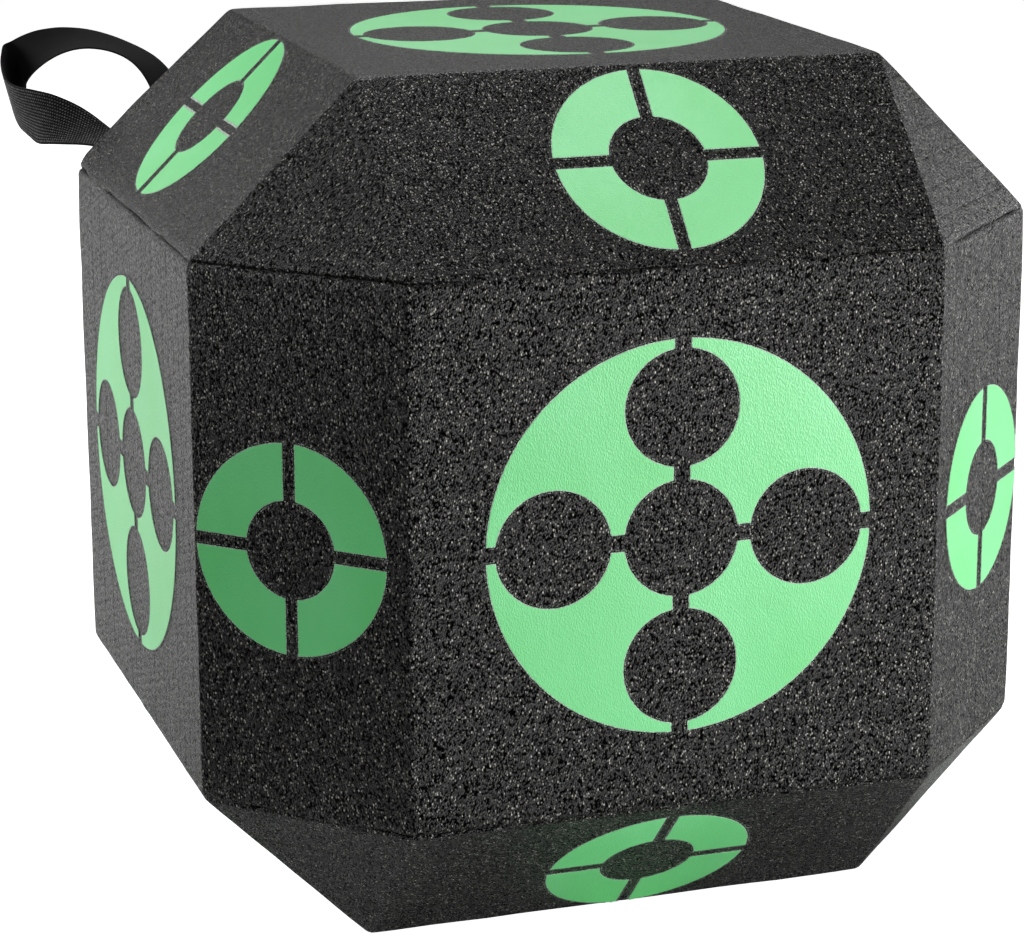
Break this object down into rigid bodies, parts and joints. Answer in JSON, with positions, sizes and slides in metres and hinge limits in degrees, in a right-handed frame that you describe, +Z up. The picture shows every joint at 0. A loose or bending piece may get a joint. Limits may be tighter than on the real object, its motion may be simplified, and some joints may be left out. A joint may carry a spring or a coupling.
{
  "type": "archery target boss",
  "caption": "Free-standing block of laminated foam with bevelled edges and corners, shot at from any side, with a webbing carrying loop at one upper corner.",
  "frame": {"origin": "middle of the flat face that the block stands on", "axes": "+Z up; -Y towards the front face, square to the upright sheets; the carrying loop leaves the corner towards -X, +Y, +Z"},
  "size_m": [0.404, 0.4364, 0.38],
  "materials": {
    "foam": "matt closed-cell foam, fine grain",
    "webbing": "flat woven webbing"
  },
  "bodies": {
    "block": {"core_sheet_01": "foam", "core_sheet_02": "foam", "core_sheet_03": "foam", "core_sheet_04": "foam", "core_sheet_05": "foam", "core_sheet_06": "foam", "core_sheet_07": "foam", "core_sheet_08": "foam", "core_sheet_09": "foam", "core_sheet_10": "foam", "core_sheet_11": "foam", "core_sheet_12": "foam", "core_sheet_13": "foam", "core_sheet_14": "foam", "core_sheet_15": "foam", "core_sheet_16": "foam", "core_sheet_17": "foam", "core_sheet_18": "foam", "core_sheet_19": "foam", "core_sheet_20": "foam", "core_sheet_21": "foam", "core_sheet_22": "foam", "core_sheet_23": "foam", "core_sheet_24": "foam", "core_sheet_25": "foam", "core_sheet_26": "foam", "core_sheet_27": "foam", "core_sheet_28": "foam", "core_sheet_29": "foam", "core_sheet_30": "foam", "core_sheet_31": "foam", "core_sheet_32": "foam", "core_sheet_33": "foam", "core_sheet_34": "foam", "core_sheet_35": "foam", "core_sheet_36": "foam", "core_sheet_37": "foam", "top_cap_sheet_1": "foam", "top_cap_sheet_2": "foam", "top_cap_sheet_3": "foam", "top_cap_sheet_4": "foam", "top_cap_sheet_5": "foam", "top_cap_sheet_6": "foam", "top_cap_sheet_7": "foam", "bottom_cap_sheet_1": "foam", "bottom_cap_sheet_2": "foam", "bottom_cap_sheet_3": "foam", "bottom_cap_sheet_4": "foam", "bottom_cap_sheet_5": "foam", "bottom_cap_sheet_6": "foam", "bottom_cap_sheet_7": "foam", "strap_tail_near": "webbing", "strap_tail_far": "webbing"},
    "loop": {"strap_loop": "webbing"}
  },
  "joints": [
    {"name": "loop_hinge", "type": "hinge", "parent": "block", "child": "loop", "pos_m": [-0.15394, 0.15394, 0.31668], "axis": [0.7071, 0.7071, 0], "range_deg": [-60, 50]}
  ]
}
